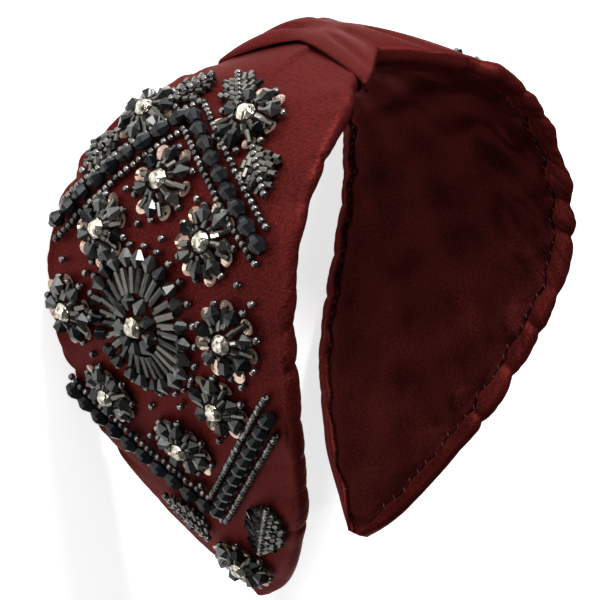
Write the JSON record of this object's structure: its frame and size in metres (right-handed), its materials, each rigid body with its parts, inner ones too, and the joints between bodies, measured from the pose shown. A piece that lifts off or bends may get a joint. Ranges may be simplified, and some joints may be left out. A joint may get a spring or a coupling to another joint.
{
  "type": "beaded headband",
  "caption": "Wide padded satin headband with a knotted top, gathered edges and tapered open ends, lined inside, with beaded flowers, rosettes, leaves and chevrons on its outer faces.",
  "frame": {"origin": "middle of the footprint, on the surface that the back edge lies on", "axes": "+X from ear to ear, +Y from the open ends to the knotted top, +Z from the back edge to the front edge"},
  "size_m": [0.1356, 0.1532, 0.0786],
  "materials": {
    "satin": "burgundy satin with a fine grain and soft sheen",
    "lining": "dark burgundy satin lining",
    "flower_beads": "gunmetal cut glass with silver stones and sequins",
    "rosette_beads": "gunmetal bugles and cut crystals",
    "crystals": "near-black faceted crystals",
    "seed_beads": "metallic grey seed beads",
    "leaf_beads": "gunmetal cut beads in slanting rows"
  },
  "bodies": {
    "root": {"left_cover": "satin", "left_flower_1": "flower_beads", "left_flower_2": "flower_beads", "left_flower_3": "flower_beads", "left_flower_4": "flower_beads", "left_flower_5": "flower_beads", "left_flower_6": "flower_beads", "left_flower_7": "flower_beads", "left_flower_8": "flower_beads", "left_flower_9": "flower_beads", "left_flower_10": "flower_beads", "left_flower_11": "flower_beads", "left_rosette": "rosette_beads", "left_upper_inner_seeds": "seed_beads", "left_upper_crystals": "crystals", "left_upper_outer_seeds": "seed_beads", "left_lower_inner_seeds": "seed_beads", "left_lower_crystals": "crystals", "left_lower_outer_seeds": "seed_beads", "left_leaf_1": "leaf_beads", "left_leaf_2": "leaf_beads", "left_leaf_3": "leaf_beads", "left_leaf_4": "leaf_beads", "left_leaf_5": "leaf_beads", "left_leaf_6": "leaf_beads", "right_cover": "satin", "right_flower_1": "flower_beads", "right_flower_2": "flower_beads", "right_flower_3": "flower_beads", "right_flower_4": "flower_beads", "right_flower_5": "flower_beads", "right_flower_6": "flower_beads", "right_flower_7": "flower_beads", "right_flower_8": "flower_beads", "right_flower_9": "flower_beads", "right_flower_10": "flower_beads", "right_flower_11": "flower_beads", "right_rosette": "rosette_beads", "right_upper_inner_seeds": "seed_beads", "right_upper_crystals": "crystals", "right_upper_outer_seeds": "seed_beads", "right_lower_inner_seeds": "seed_beads", "right_lower_crystals": "crystals", "right_lower_outer_seeds": "seed_beads", "right_leaf_1": "leaf_beads", "right_leaf_2": "leaf_beads", "right_leaf_3": "leaf_beads", "right_leaf_4": "leaf_beads", "right_leaf_5": "leaf_beads", "right_leaf_6": "leaf_beads", "lining": "lining", "knot_wrap": "satin"}
  },
  "joints": []
}
